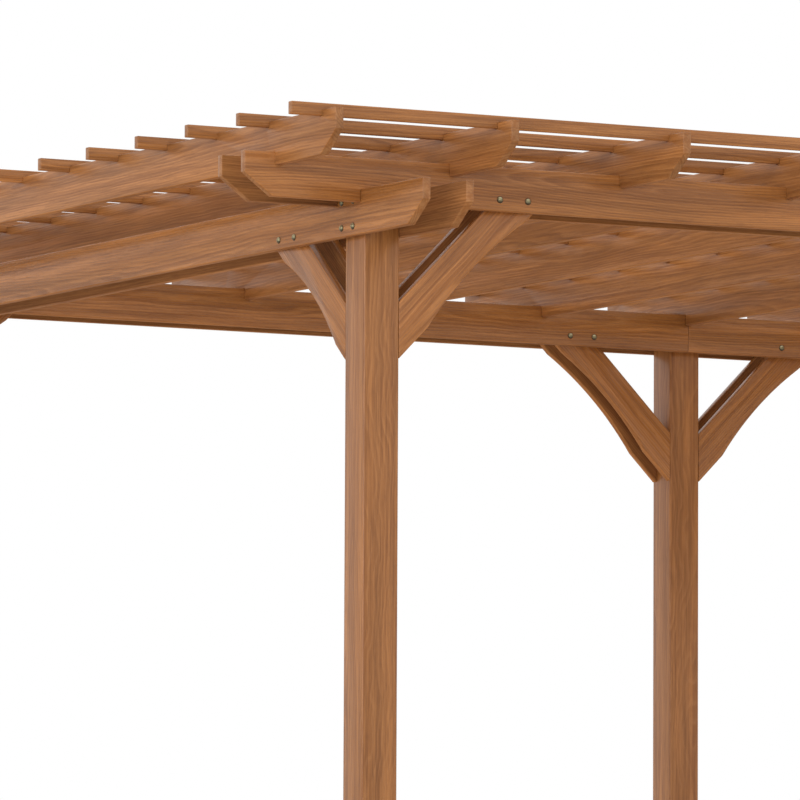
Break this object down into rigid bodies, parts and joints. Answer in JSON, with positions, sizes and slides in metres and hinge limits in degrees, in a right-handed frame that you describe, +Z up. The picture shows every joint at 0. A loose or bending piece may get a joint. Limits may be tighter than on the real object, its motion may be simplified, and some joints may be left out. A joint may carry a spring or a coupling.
{
  "type": "wooden pergola",
  "caption": "Free-standing timber pergola: square posts, twin clasping beams with slant-cut ends, curved knee braces, notched rafters and roof slats.",
  "frame": {"origin": "centre of the footprint, at the level of the post feet", "axes": "+X along the long beams, +Y along the rafters from the front row to the back row, +Z up"},
  "size_m": [5.82, 3.575, 2.4],
  "materials": {
    "post_timber": "stained softwood, satin, straight brown grain",
    "beam_timber": "stained softwood, satin, straight brown grain",
    "rafter_timber": "stained softwood, satin, straight brown grain",
    "slat_timber": "stained softwood, satin, straight brown grain",
    "brace_timber": "stained softwood, satin, straight brown grain",
    "bolt_metal": "domed bolt heads, dull plated steel with an olive cast"
  },
  "bodies": {
    "root": {"post_front_left": "post_timber", "post_front_middle": "post_timber", "post_front_right": "post_timber", "post_back_left": "post_timber", "post_back_middle": "post_timber", "post_back_right": "post_timber", "end_beam_left": "beam_timber", "end_beam_right": "beam_timber", "long_beam_front_left": "beam_timber", "long_beam_front_right": "beam_timber", "long_beam_back_left": "beam_timber", "long_beam_back_right": "beam_timber", "rafter_1": "rafter_timber", "rafter_2": "rafter_timber", "rafter_3": "rafter_timber", "rafter_4": "rafter_timber", "rafter_5": "rafter_timber", "rafter_6": "rafter_timber", "rafter_7": "rafter_timber", "rafter_8": "rafter_timber", "rafter_9": "rafter_timber", "rafter_10": "rafter_timber", "rafter_11": "rafter_timber", "rafter_12": "rafter_timber", "rafter_13": "rafter_timber", "slat_pair_1": "slat_timber", "slat_pair_2": "slat_timber", "slat_pair_3": "slat_timber", "slat_pair_4": "slat_timber", "slat_pair_5": "slat_timber", "slat_pair_6": "slat_timber", "slat_pair_7": "slat_timber", "end_brace_front_left": "brace_timber", "end_brace_front_right": "brace_timber", "end_brace_back_left": "brace_timber", "end_brace_back_right": "brace_timber", "long_brace_front_left": "brace_timber", "long_brace_front_middle_left": "brace_timber", "long_brace_front_middle_right": "brace_timber", "long_brace_front_right": "brace_timber", "long_brace_back_left": "brace_timber", "long_brace_back_middle_left": "brace_timber", "long_brace_back_middle_right": "brace_timber", "long_brace_back_right": "brace_timber"}
  },
  "joints": []
}
